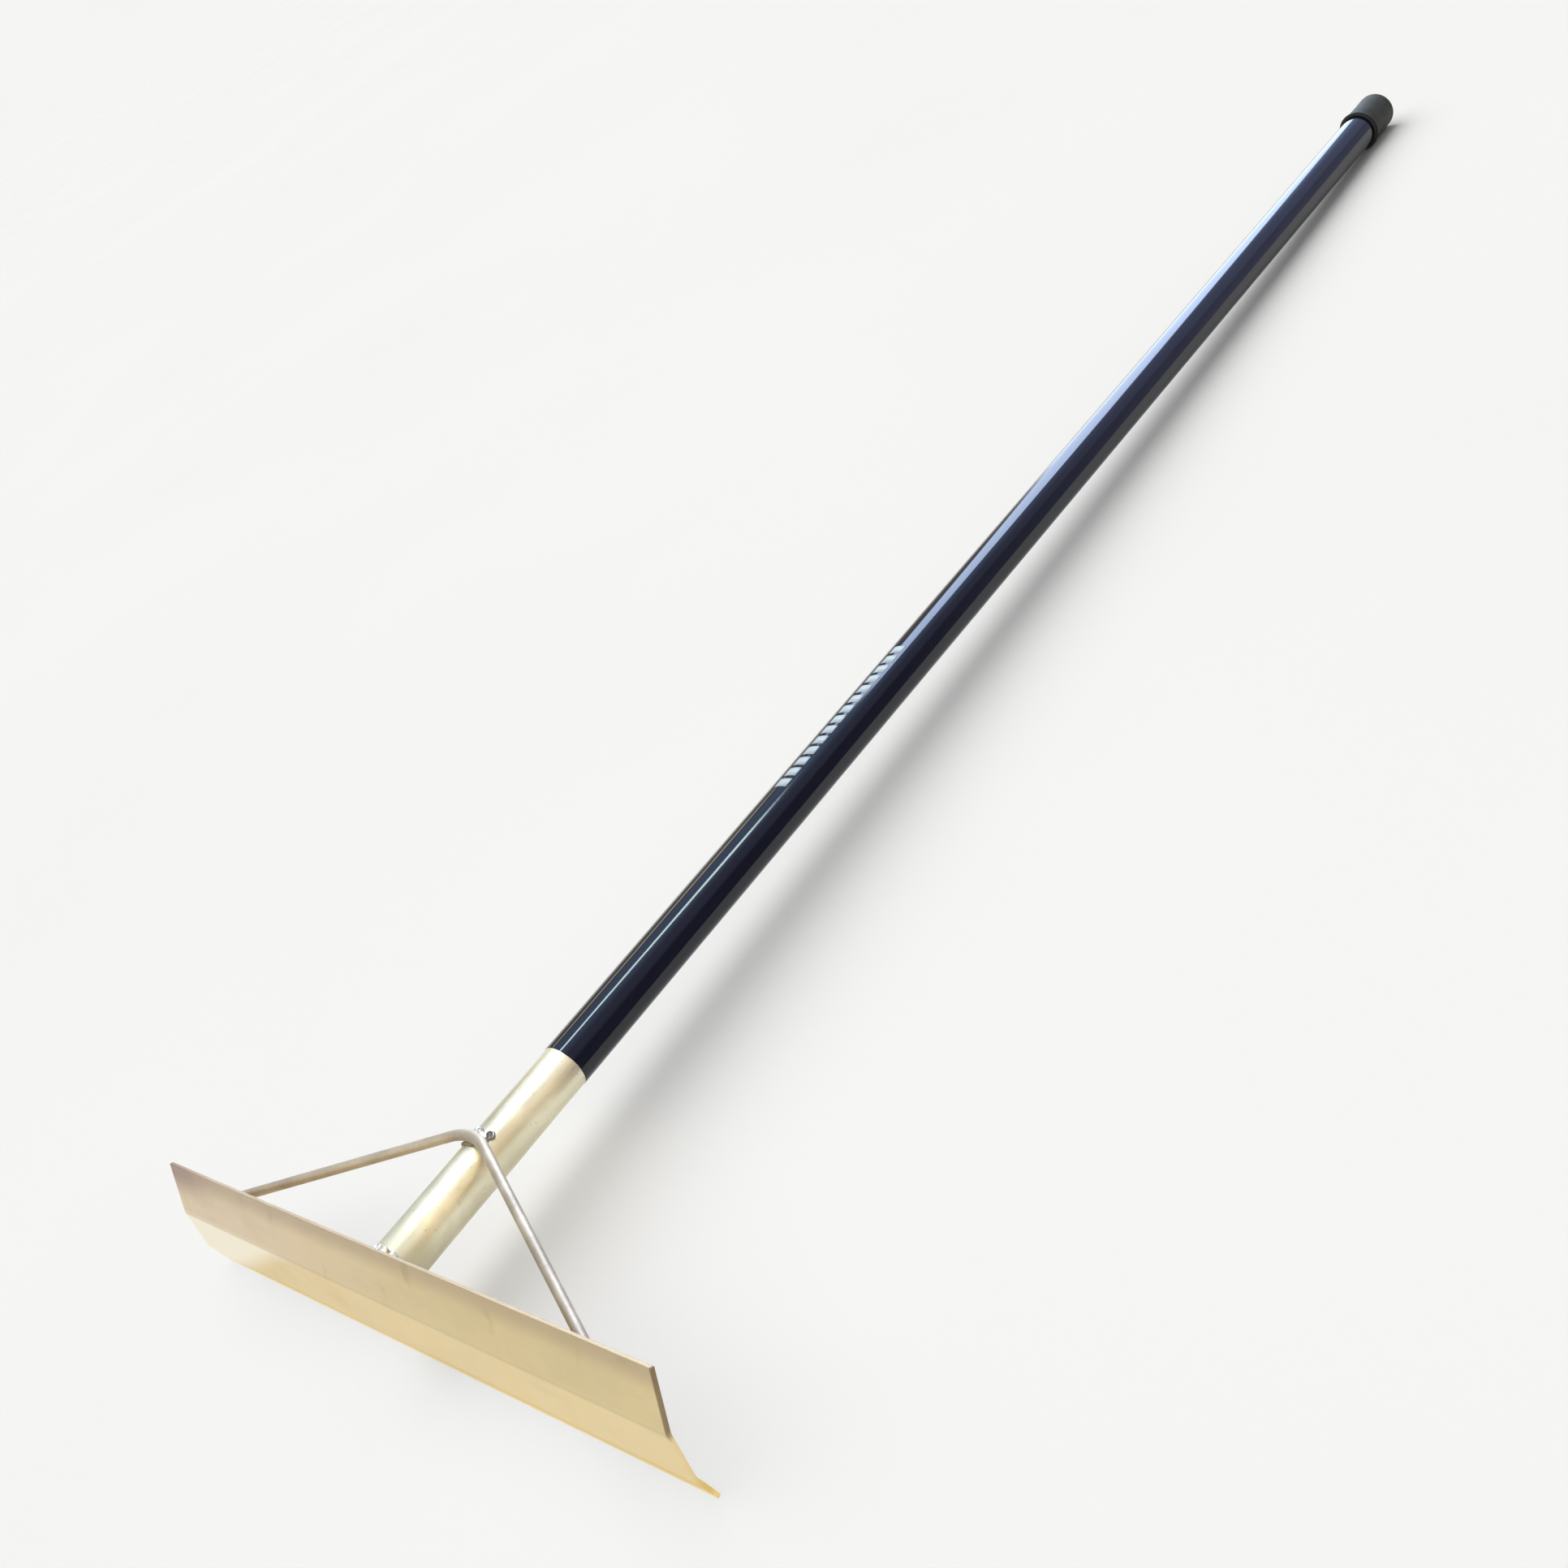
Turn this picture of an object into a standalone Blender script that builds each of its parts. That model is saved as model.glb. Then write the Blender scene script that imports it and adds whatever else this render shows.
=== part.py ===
"""Concrete placer: a wide folded aluminium blade on a long tube handle, braced by a V-bent bar.

The tool is drawn with its handle along +Y, the blade's width along X and the brace above the
handle. An empty then tips the whole tool so that it lies on the blade's lip and on the cap's rim,
with the floor at Z = 0 and the origin under the middle of its bounding box. Metres throughout.
"""

import math

import bmesh
import bpy
from mathutils import Matrix, Vector

# Blade: one folded sheet. Its lines are given on the concave face, which the handle is welded to.
BLADE_WIDTH = 0.500
BLADE_THICKNESS = 0.0025
FLAT_LENGTHS = (0.036, 0.030, 0.021)
FLAT_ANGLES = tuple(math.radians(a) for a in (67.5, 82.5, 100.5))
TOP_EDGE_HEIGHT = 0.0225
BEND_RADIUS = 0.004
EDGE_ROUNDING = 0.0003

# Handle tube and the sleeve shrunk over it. Distances along the handle start at the top edge.
TUBE_RADIUS = 0.016
TUBE_WALL = 0.002
TUBE_END = 1.4610
SLEEVE_START = 0.1590
SLEEVE_END = 1.4600
SLEEVE_THICKNESS = 0.0004

# Push-on end cap.
CAP_MOUTH = 1.4200
CAP_END = 1.4690
CAP_RADIUS = 0.0181
CAP_RIM_RADIUS = 0.0195
CAP_RIM_LENGTH = 0.0032
CAP_CORNER_RADIUS = 0.0050

# Brace: round bar bent to a V, with its bend over the tube and its ends on the blade.
ROD_RADIUS = 0.0032
BRACE_HALF_SPAN = 0.196
BRACE_FOOT_DEPTH = 0.019
BRACE_RISE = 0.0948
BRACE_BEND_RADIUS = 0.040
BRACE_OVERRUN = 0.022

# Weld beads.
TUBE_BEAD_RADIUS = 0.0024
ROD_BEAD_RADIUS = 0.0017
UPPER_BEAD_RADIUS = 0.0023
UPPER_BEAD_SPAN = (-0.0065, 0.0080)
LOWER_BEAD_RADIUS = 0.0015
LOWER_BEAD_SPAN = (-0.0060, 0.0030)
FOOT_BEAD_RADIUS = 0.0018

# Clearance that neighbouring solids keep, and how finely round shapes are divided.
GAP = 0.0003
TURNED_STEPS = 64
BEND_STEPS = 4
MERGE = 0.00001

CUTTER_HALF_WIDTH = 0.30
CUTTER_REACH = 0.12

# Colour, roughness and metallic value of each finish.
FINISHES = {
    "blade_sheet": ((0.72, 0.65, 0.50), 0.38, 1.0),
    "tube_metal": ((0.80, 0.77, 0.66), 0.30, 1.0),
    "brace_bar": ((0.66, 0.62, 0.54), 0.34, 1.0),
    "weld_metal": ((0.82, 0.81, 0.80), 0.26, 1.0),
    "navy_sleeve": ((0.012, 0.016, 0.036), 0.16, 0.0),
    "black_cap": ((0.040, 0.041, 0.036), 0.62, 0.0),
}


def clear_scene():
    for item in list(bpy.data.objects):
        bpy.data.objects.remove(item, do_unlink=True)


def new_collection(name):
    collection = bpy.data.collections.new(name)
    bpy.context.scene.collection.children.link(collection)
    return collection


def finish_material(name):
    colour, roughness, metallic = FINISHES[name]
    material = bpy.data.materials.get(name) or bpy.data.materials.new(name)
    material.use_nodes = True
    shader = material.node_tree.nodes["Principled BSDF"]
    shader.inputs["Base Color"].default_value = (*colour, 1.0)
    shader.inputs["Roughness"].default_value = roughness
    shader.inputs["Metallic"].default_value = metallic
    return material


def add_object(name, data, collection, finish, parent=None):
    item = bpy.data.objects.new(name, data)
    collection.objects.link(item)
    data.materials.append(finish_material(finish))
    item.parent = parent
    return item


def smooth_mesh(mesh, angle_deg=35.0):
    mesh.shade_smooth()
    mesh.set_sharp_from_angle(angle=math.radians(angle_deg))


def rounded_path(corners, radius, steps):
    """A polyline through 2-D corners, with each inner corner replaced by an arc."""
    path = [Vector(corners[0])]
    for before, corner, after in zip(corners, corners[1:], corners[2:]):
        before, corner, after = Vector(before), Vector(corner), Vector(after)
        into = (corner - before).normalized()
        out = (after - corner).normalized()
        turn = math.acos(max(-1.0, min(1.0, into.dot(out))))
        setback = radius * math.tan(turn / 2)
        side = 1.0 if into.x * out.y - into.y * out.x > 0 else -1.0
        start = corner - into * setback
        centre = start + Vector((-into.y, into.x)) * radius * side
        spoke = start - centre
        for step in range(steps + 1):
            path.append(centre + Matrix.Rotation(side * turn * step / steps, 2) @ spoke)
    path.append(Vector(corners[-1]))
    return path


def flat_direction(angle):
    """Direction in (Y, Z) that runs down a flat, away from the top edge."""
    return Vector((-math.cos(angle), -math.sin(angle)))


def flat_normal(angle):
    """Normal in (Y, Z) of a flat's concave face, pointing towards the handle."""
    return Vector((math.sin(angle), -math.cos(angle)))


def fold_corners():
    """Corners in (Y, Z) of the concave face: the top edge, the two bends and the lip's edge."""
    corners = [Vector((0.0, TOP_EDGE_HEIGHT))]
    for length, angle in zip(FLAT_LENGTHS, FLAT_ANGLES):
        corners.append(corners[-1] + flat_direction(angle) * length)
    return corners


def face_y(height, offset):
    """Y of the surface that lies an offset away from the concave face, at a height Z."""
    return max(
        corner.x + (height - corner.y) / math.tan(angle) + offset / math.sin(angle)
        for corner, angle in zip(fold_corners(), FLAT_ANGLES)
    )


def mesh_from_bmesh(name, bm):
    bmesh.ops.recalc_face_normals(bm, faces=bm.faces)
    mesh = bpy.data.meshes.new(name)
    bm.to_mesh(mesh)
    bm.free()
    return mesh


def bool_cut(item, cutter):
    cut = item.modifiers.new("Cut", "BOOLEAN")
    cut.operation = "DIFFERENCE"
    cut.object = cutter
    return cut


def turned_object(name, profile, collection, finish, parent):
    """A solid turned around the handle's axis from a closed profile of (radius, distance) points.

    The profile goes down the outer side first, from the cap's end towards the blade.
    """
    bm = bmesh.new()
    loop = [bm.verts.new((radius, 0.0, distance)) for radius, distance in profile]
    on_axis = profile[0][0] == 0.0
    pairs = zip(loop, loop[1:]) if on_axis else zip(loop, loop[1:] + loop[:1])
    for first, second in pairs:
        bm.edges.new((first, second))
    mesh = bpy.data.meshes.new(name)
    bm.to_mesh(mesh)
    bm.free()
    item = add_object(name, mesh, collection, finish, parent)
    item.rotation_euler = (-math.pi / 2, 0.0, 0.0)
    screw = item.modifiers.new("Turn", "SCREW")
    screw.steps = TURNED_STEPS
    screw.render_steps = TURNED_STEPS
    screw.use_merge_vertices = True
    screw.merge_threshold = MERGE
    screw.use_smooth_shade = True
    return item


def bar_curve(name, points, radius, collection, finish, parent, cyclic=False, resolution=3):
    """A round bar or bead along a polyline, as a curve with filled ends."""
    curve = bpy.data.curves.new(name, "CURVE")
    curve.dimensions = "3D"
    curve.bevel_depth = radius
    curve.bevel_resolution = resolution
    curve.use_fill_caps = not cyclic
    spline = curve.splines.new("POLY")
    spline.points.add(len(points) - 1)
    for slot, point in zip(spline.points, points):
        slot.co = (*point, 1.0)
    spline.use_cyclic_u = cyclic
    return add_object(name, curve, collection, finish, parent)


def mesh_copy_of_curve(item, collection):
    """Replace a curve object by the same shape as a closed mesh, at the same place."""
    bpy.context.view_layer.update()
    evaluated = item.evaluated_get(bpy.context.evaluated_depsgraph_get())
    mesh = bpy.data.meshes.new_from_object(evaluated)
    bm = bmesh.new()
    bm.from_mesh(mesh)
    bmesh.ops.remove_doubles(bm, verts=bm.verts, dist=MERGE)
    bmesh.ops.recalc_face_normals(bm, faces=bm.faces)
    bm.to_mesh(mesh)
    bm.free()
    name, parent, place = item.name, item.parent, item.matrix_world.copy()
    bpy.data.objects.remove(item, do_unlink=True)
    solid = bpy.data.objects.new(name, mesh)
    collection.objects.link(solid)
    solid.parent = parent
    solid.matrix_world = place
    return solid


def make_blade(collection, parent):
    """The folded sheet: its concave face is drawn as a strip, and the thickness goes outwards."""
    bm = bmesh.new()
    sides = []
    for x in (-BLADE_WIDTH / 2, BLADE_WIDTH / 2):
        path = rounded_path(fold_corners(), BEND_RADIUS, BEND_STEPS)
        sides.append([bm.verts.new((x, point.x, point.y)) for point in path])
    left, right = sides
    for row in range(len(left) - 1):
        bm.faces.new((left[row], left[row + 1], right[row + 1], right[row]))
    mesh = bpy.data.meshes.new("blade")
    bm.to_mesh(mesh)
    bm.free()
    blade = add_object("blade", mesh, collection, "blade_sheet", parent)
    sheet = blade.modifiers.new("Sheet", "SOLIDIFY")
    sheet.thickness = BLADE_THICKNESS
    sheet.offset = 1.0
    sheet.use_even_offset = True
    rounding = blade.modifiers.new("Edges", "BEVEL")
    rounding.width = EDGE_ROUNDING
    rounding.segments = 2
    rounding.limit_method = "ANGLE"
    rounding.angle_limit = math.radians(60)
    return blade


def make_blade_clearance(collection, parent):
    """Cutter that holds the blade and all that lies in front of it, a gap away from its back."""
    offset_line = []
    for height in (CUTTER_REACH, fold_height(1), fold_height(2), -CUTTER_REACH):
        offset_line.append((face_y(height, GAP), height))
    outline = offset_line + [(-CUTTER_REACH, -CUTTER_REACH), (-CUTTER_REACH, CUTTER_REACH)]
    bm = bmesh.new()
    ends = []
    for x in (-CUTTER_HALF_WIDTH, CUTTER_HALF_WIDTH):
        ends.append([bm.verts.new((x, y, z)) for y, z in outline])
    for index in range(len(outline)):
        after = (index + 1) % len(outline)
        bm.faces.new((ends[0][index], ends[0][after], ends[1][after], ends[1][index]))
    for end in ends:
        bm.faces.new(end)
    mesh = mesh_from_bmesh("blade_clearance", bm)
    cutter = bpy.data.objects.new("blade_clearance", mesh)
    collection.objects.link(cutter)
    cutter.parent = parent
    cutter.hide_render = True
    cutter.display_type = "WIRE"
    return cutter


def fold_height(index):
    """Height at which the surface a gap away from the concave face changes flat."""
    corner = fold_corners()[index]
    middle_angle = (FLAT_ANGLES[index - 1] + FLAT_ANGLES[index]) / 2
    half_turn = (FLAT_ANGLES[index] - FLAT_ANGLES[index - 1]) / 2
    return corner.y - math.cos(middle_angle) * GAP / math.cos(half_turn)


def make_handle_tube(collection, parent, clearance):
    inner = TUBE_RADIUS - TUBE_WALL
    start = -CUTTER_REACH / 2
    profile = [(TUBE_RADIUS, TUBE_END), (TUBE_RADIUS, start), (inner, start), (inner, TUBE_END)]
    tube = turned_object("handle_tube", profile, collection, "tube_metal", parent)
    bool_cut(tube, clearance)
    return tube


def make_handle_sleeve(collection, parent):
    inner = TUBE_RADIUS + GAP
    outer = inner + SLEEVE_THICKNESS
    profile = [(outer, SLEEVE_END), (outer, SLEEVE_START), (inner, SLEEVE_START), (inner, SLEEVE_END)]
    return turned_object("handle_sleeve", profile, collection, "navy_sleeve", parent)


def make_end_cap(collection, parent):
    """Cap with a rim at its mouth, a flat end and a rounded outer corner."""
    corner = Vector((CAP_RADIUS - CAP_CORNER_RADIUS, CAP_END - CAP_CORNER_RADIUS))
    profile = [(0.0, CAP_END)]
    for step in range(7):
        angle = math.radians(90 - 15 * step)
        profile.append((corner.x + CAP_CORNER_RADIUS * math.cos(angle),
                        corner.y + CAP_CORNER_RADIUS * math.sin(angle)))
    rim_swell = CAP_RIM_RADIUS - CAP_RADIUS
    for step in range(7):
        angle = math.radians(90 - 30 * step)
        profile.append((CAP_RADIUS + rim_swell * math.cos(angle),
                        CAP_MOUTH + CAP_RIM_LENGTH / 2 * (1 + math.sin(angle))))
    inner = TUBE_RADIUS + GAP + SLEEVE_THICKNESS + GAP
    profile.append((inner, CAP_MOUTH))
    profile.append((inner, TUBE_END + GAP))
    profile.append((0.0, TUBE_END + GAP))
    return turned_object("end_cap", profile, collection, "black_cap", parent)


def brace_foot():
    """(Y, Z) of the point at which the bar's axis comes a bar's radius from the blade."""
    on_face = fold_corners()[0] + flat_direction(FLAT_ANGLES[0]) * BRACE_FOOT_DEPTH
    return on_face + flat_normal(FLAT_ANGLES[0]) * (ROD_RADIUS + GAP)


def brace_frame():
    """Origin and unit rise vector of the plane that the V lies in, in (Y, Z)."""
    foot = brace_foot()
    leg_angle = math.atan2(BRACE_RISE, BRACE_HALF_SPAN)
    crossing = BRACE_RISE - BRACE_BEND_RADIUS * (1 / math.cos(leg_angle) - 1)
    climb = TUBE_RADIUS + GAP + ROD_RADIUS - foot.y
    slope = math.asin(climb / crossing)
    return foot, Vector((math.cos(slope), math.sin(slope))), crossing


def make_brace_rod(collection, parent, clearance):
    """The bar: straight legs that run past the blade's face, and one arc over the tube."""
    foot, rise, _ = brace_frame()
    overrun = Vector((BRACE_HALF_SPAN, -BRACE_RISE)).normalized() * BRACE_OVERRUN
    end = Vector((BRACE_HALF_SPAN, 0.0)) + overrun
    corners = [(-end.x, end.y), (0.0, BRACE_RISE), (end.x, end.y)]
    points = []
    for across, up in rounded_path(corners, BRACE_BEND_RADIUS, 14):
        points.append((across, foot.x + rise.x * up, foot.y + rise.y * up))
    rod = bar_curve("brace_rod", points, ROD_RADIUS, collection, "brace_bar", parent, resolution=6)
    rod = mesh_copy_of_curve(rod, collection)
    smooth_mesh(rod.data)
    bool_cut(rod, clearance)
    return rod


def tube_bead_points():
    """Closed line round the tube, one bead's radius and a gap off the tube and off the blade."""
    stand_off = TUBE_BEAD_RADIUS + GAP
    ring = TUBE_RADIUS + stand_off
    points = []
    for step in range(48):
        angle = 2 * math.pi * step / 48
        height = ring * math.sin(angle)
        points.append((ring * math.cos(angle), face_y(height, stand_off), height))
    return points


def crevice_offset(bead_radius):
    """Distance along the handle from the bar's axis to a bead in the crevice under the bar."""
    between_axes = ROD_RADIUS + GAP + bead_radius
    drop = ROD_RADIUS - bead_radius
    return math.sqrt(between_axes * between_axes - drop * drop)


def saddle_bead_points(span, bead_radius, side):
    """Line over the tube's top beside the brace's bend: side is +1 on the cap's side of the bend."""
    foot, rise, crossing = brace_frame()
    bend_centre = crossing - BRACE_BEND_RADIUS
    ring = TUBE_RADIUS + GAP + bead_radius
    reach = BRACE_BEND_RADIUS + side * crevice_offset(bead_radius) / rise.x
    points = []
    for step in range(9):
        across = span[0] + (span[1] - span[0]) * step / 8
        up = bend_centre + math.sqrt(reach * reach - across * across)
        height = math.sqrt(ring * ring - across * across)
        points.append((across, foot.x + rise.x * up, height))
    return points


def foot_bead_points(side):
    """U-shaped line on the blade's back, round the end of one of the brace's legs."""
    angle = FLAT_ANGLES[0]
    down, out = flat_direction(angle), flat_normal(angle)
    foot, rise, _ = brace_frame()
    leg = Vector((BRACE_HALF_SPAN, -rise.x * BRACE_RISE, -rise.y * BRACE_RISE)).normalized()
    fall = leg.y * down.x + leg.z * down.y
    along = Vector((leg.x, fall)).normalized()
    beside = Vector((-along.y, along.x))
    sink = -(leg.y * out.x + leg.z * out.y)
    tip_run = 2 * ROD_RADIUS / sink
    half_width = ROD_RADIUS + FOOT_BEAD_RADIUS + GAP
    start = Vector((BRACE_HALF_SPAN, BRACE_FOOT_DEPTH))
    path = []
    for run in (-0.004, 0.004, 0.012):
        path.append(start + along * run - beside * half_width)
    centre = start + along * (tip_run - ROD_RADIUS)
    for step in range(7):
        turn = math.pi * step / 6
        path.append(centre + (along * math.sin(turn) - beside * math.cos(turn)) * half_width)
    for run in (0.012, 0.004, -0.004):
        path.append(start + along * run + beside * half_width)
    top = fold_corners()[0]
    height = FOOT_BEAD_RADIUS + GAP
    points = []
    for across, depth in path:
        spot = top + down * depth + out * height
        points.append((side * across, spot.x, spot.y))
    return points


def make_welds(collection, parent):
    bar_curve("weld_tube_blade", tube_bead_points(), TUBE_BEAD_RADIUS, collection,
              "weld_metal", parent, cyclic=True)
    bar_curve("weld_brace_upper", saddle_bead_points(UPPER_BEAD_SPAN, UPPER_BEAD_RADIUS, 1),
              UPPER_BEAD_RADIUS, collection, "weld_metal", parent)
    bar_curve("weld_brace_lower", saddle_bead_points(LOWER_BEAD_SPAN, LOWER_BEAD_RADIUS, -1),
              LOWER_BEAD_RADIUS, collection, "weld_metal", parent)
    for name, side in (("weld_brace_left", -1), ("weld_brace_right", 1)):
        bar_curve(name, foot_bead_points(side), FOOT_BEAD_RADIUS, collection, "weld_metal", parent)


def resting_tilt():
    """Angle that lays the tool on its lip and on the cap's rim."""
    lip_angle = FLAT_ANGLES[-1]
    lip = fold_corners()[-1] - flat_normal(lip_angle) * BLADE_THICKNESS
    rim = Vector((CAP_MOUTH + CAP_RIM_LENGTH / 2, -CAP_RIM_RADIUS))
    return -math.atan2(rim.y - lip.y, rim.x - lip.x)


def stand_on_floor(tool, parts):
    """Move the tool so that the origin is under the middle of its box, with the floor at Z = 0."""
    bpy.context.view_layer.update()
    graph = bpy.context.evaluated_depsgraph_get()
    corners = []
    for part in parts:
        solid = part.evaluated_get(graph)
        mesh = solid.to_mesh()
        corners.extend(solid.matrix_world @ vertex.co for vertex in mesh.vertices)
        solid.to_mesh_clear()
    low = Vector([min(corner[axis] for corner in corners) for axis in range(3)])
    high = Vector([max(corner[axis] for corner in corners) for axis in range(3)])
    middle = (low + high) / 2
    tool.location = (-middle.x, -middle.y, -low.z)


def main():
    clear_scene()
    parts = new_collection("concrete_placer")
    cutters = new_collection("cutters")
    tool = bpy.data.objects.new("tool", None)
    parts.objects.link(tool)
    tool.rotation_euler = (resting_tilt(), 0.0, 0.0)
    clearance = make_blade_clearance(cutters, tool)
    make_blade(parts, tool)
    make_handle_tube(parts, tool, clearance)
    make_handle_sleeve(parts, tool)
    make_end_cap(parts, tool)
    make_brace_rod(parts, tool, clearance)
    make_welds(parts, tool)
    stand_on_floor(tool, [part for part in parts.objects if part.type != "EMPTY"])


main()
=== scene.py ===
"""The concrete placer as it looks: satin metal, lumpy welds, a glossy sleeve and a worn blade.

Shapes are drawn in the tool's own frame, in millimetres: X along the blade, Y along the handle
from the blade's top edge towards the end cap, Z up on the side that the brace is on. Materials
read the same frame in metres. The studio stands in the row frame, in metres.
"""

import math

import bpy
from mathutils import Matrix, Vector, noise


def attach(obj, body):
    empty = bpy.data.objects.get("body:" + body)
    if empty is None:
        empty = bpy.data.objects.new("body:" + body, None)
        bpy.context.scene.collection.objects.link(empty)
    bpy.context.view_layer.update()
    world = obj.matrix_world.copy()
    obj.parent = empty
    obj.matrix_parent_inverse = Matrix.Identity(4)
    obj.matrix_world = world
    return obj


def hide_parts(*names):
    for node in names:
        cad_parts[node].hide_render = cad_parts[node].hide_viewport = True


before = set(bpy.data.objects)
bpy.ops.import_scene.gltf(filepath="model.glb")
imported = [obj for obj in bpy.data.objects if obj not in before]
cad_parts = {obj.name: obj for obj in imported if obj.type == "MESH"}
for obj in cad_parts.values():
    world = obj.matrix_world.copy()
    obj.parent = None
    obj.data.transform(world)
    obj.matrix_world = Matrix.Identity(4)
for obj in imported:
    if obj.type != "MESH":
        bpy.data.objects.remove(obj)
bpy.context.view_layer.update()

# Where the tool's own frame lies in the row frame: the same tilt and offset as in the CAD.
MM = 0.001
TOOL_TILT = math.radians(-1.6773)
TOOL_ORIGIN = Vector((0.0, -0.723716, 0.061103))
TOOL = Matrix.Translation(TOOL_ORIGIN) @ Matrix.Rotation(TOOL_TILT, 4, "X")

# Camera, in the tool's frame, in metres.
CAMERA_POSITION = Vector((0.85872, -0.20440, 0.58011))
CAMERA_FORWARD = Vector((-0.71596, 0.51378, -0.47269))
CAMERA_UP = Vector((-0.03348, 0.65101, 0.75833))
CAMERA_LENS = 39.91

# Blade.
BLADE_WIDTH = 500.0
SHEET = 2.5
FLAT_LENGTHS = (36.0, 30.0, 21.0)
FLAT_ANGLES = tuple(math.radians(a) for a in (67.5, 82.5, 100.5))
TOP_EDGE = 22.5
BEND_RADIUS = 4.0
EDGE_ROUNDING = 0.35
BLADE_WAVE = 0.06
TOP_EDGE_WEAR = 0.10
LIP_WEAR = 0.22
LIP_NICKS = 0.25

# Handle.
TUBE_RADIUS = 16.0
TUBE_BORE = 14.0
TUBE_END = 1461.0
SLEEVE_RADIUS = 16.22
SLEEVE_GAP = 0.03
SLEEVE_START = 159.0
SLEEVE_END = 1458.0
CAP_MOUTH = 1420.0
CAP_END = 1469.0
CAP_RADIUS = 18.1
CAP_RIM_RADIUS = 19.5
CAP_RIM_LENGTH = 3.2
CAP_RIM_INSET = 0.2
CAP_CORNER = 5.0
CAP_GAP = 0.10

# Brace. ROD_RADIUS is the CAD's, which the brace's path is worked out from; ROD_LOOK is what shows.
ROD_RADIUS = 3.2
ROD_LOOK = 3.3
BRACE_HALF_SPAN = 196.0
BRACE_FOOT_DEPTH = 19.0
BRACE_RISE = 94.8
BRACE_BEND_RADIUS = 40.0
BRACE_CLEARANCE = 0.1
BRACE_OVERRUN = 6.0

# How far the ring weld's edges and the bar's ends sink into the metal they are joined to.
SINK = 0.15

# Heights on the blade, in metres, between which its look changes from one zone to the next.
FIRST_BEND = (-0.0068, -0.0135)
LIP_TOP = (-0.038, -0.050)
RUBBED_EDGE = (-0.0525, -0.060)
# Painted shade darkens the upper flat between these heights, towards its top edge.
SHADE_UNDER_TOP_EDGE = (0.008, 0.0215)

# The tube is mitred to the blade: its rings change from slanted to square over this length.
MITRE_REACH = 30.0
# Shallow dents: millimetres along the handle, degrees round from +X to +Z, radius and depth.
TUBE_DENTS = (
    (27.7, 49.0, 2.3, 0.34),
    (17.0, 46.0, 2.1, 0.32),
    (9.5, 43.0, 1.9, 0.26),
    (22.5, 43.0, 1.5, 0.20),
    (76.4, 55.0, 2.0, 0.26),
    (41.0, 26.0, 2.6, 0.16),
    (70.0, 18.0, 3.0, 0.14),
    (128.0, 6.0, 2.4, 0.16),
)

# Printed band on the sleeve: its ends and its bars along the handle, and its reach round it.
MARK_START = 405.0
MARK_END = 566.0
MARK_PITCH = 11.5
MARK_BAR = 8.4
MARK_SLANT = 2.5
MARK_DEGREES = (67.0, 97.0)
INK_THICKNESS = 0.06

# Lumps and pits of the ring weld: degrees round, part of the way from tube to blade, width in
# degrees and height in millimetres. LUMP_PART is their width as a part of that way.
RING_LUMPS = (
    (91, 0.30, 7.0, 1.9),
    (80, 0.30, 6.0, 2.9),
    (68, 0.30, 6.5, 3.3),
    (54, 0.28, 7.5, 3.0),
    (42, 0.28, 7.0, 2.4),
    (106, 0.33, 9.0, 1.3),
    (74, 0.35, 2.8, -1.5),
    (61, 0.35, 2.8, -1.4),
    (86, 0.35, 2.6, -0.9),
)
LUMP_PART = 0.26
# How far the ring weld reaches up the tube and out over the blade, and where it reaches further:
# millimetres more, degrees round and width in degrees. Then the height of its ripples, its
# unevenness, and how deep in the joint its inner point lies.
RING_LEG = 3.4
RING_UP_TUBE = (5.5, 45, 32)
RING_OVER_BLADE = (4.4, 104, 26)
RING_RIPPLE = 0.14
RING_UNEVEN = 0.45
RING_DEPTH = 1.0

# Unevenness of the beads, and of the last blob's outline and height, as parts of their size.
BEAD_UNEVEN = 0.22
CRATER_UNEVEN = (0.16, 0.22)

# Welds are lumpy, so only steeper edges than this, in degrees, are drawn sharp.
WELD_SHARP = 60.0

# Last blob of the upper weld: its outline as (radius, height), the row that its pit begins at, its
# number of sides, and its place in degrees round the tube and in millimetres along it.
CRATER = (
    (3.4, -1.2),
    (3.4, 0.2),
    (3.25, 1.0),
    (2.95, 1.6),
    (2.6, 1.85),
    (2.2, 1.8),
    (1.85, 1.45),
    (1.5, 1.0),
    (0.9, 0.70),
    (0.2, 0.62),
)
CRATER_PIT = 5
CRATER_SIDES = 36
CRATER_DEGREES = 61
CRATER_PLACE = 91.6

# Studio, in metres. The wall rises by WALL_RISE times the square of the distance past the floor.
FLOOR_RADIUS = 36.0
WALL_RADIUS = 74.0
WALL_RISE = 0.035
# The side card, a painted reflection of shade beside the handle: its X, its ends along Y, its height.
CARD_SIDE = 0.105
CARD_ENDS = (-0.56, 1.30)
CARD_HEIGHT = 0.10


# ---------------------------------------------------------------- shared geometry

def fold_direction(angle):
    """Direction in (Y, Z) down a flat of the blade, away from its top edge."""
    return Vector((-math.cos(angle), -math.sin(angle)))


def fold_normal(angle):
    """Normal in (Y, Z) of a flat's back, which faces the handle."""
    return Vector((math.sin(angle), -math.cos(angle)))


def fold_corners():
    """Corners of the blade's back in (Y, Z), from its top edge to its lip."""
    corners = [Vector((0.0, TOP_EDGE))]
    for length, angle in zip(FLAT_LENGTHS, FLAT_ANGLES):
        corners.append(corners[-1] + fold_direction(angle) * length)
    return corners


def back_y(height):
    """Y of the blade's back at a height Z."""
    return max(
        corner.x + (height - corner.y) / math.tan(angle)
        for corner, angle in zip(fold_corners(), FLAT_ANGLES)
    )


def smoothstep(low, high, value):
    """0 under low, 1 over high, and a smooth rise between them."""
    t = min(1.0, max(0.0, (value - low) / (high - low)))
    return t * t * (3 - 2 * t)


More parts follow.
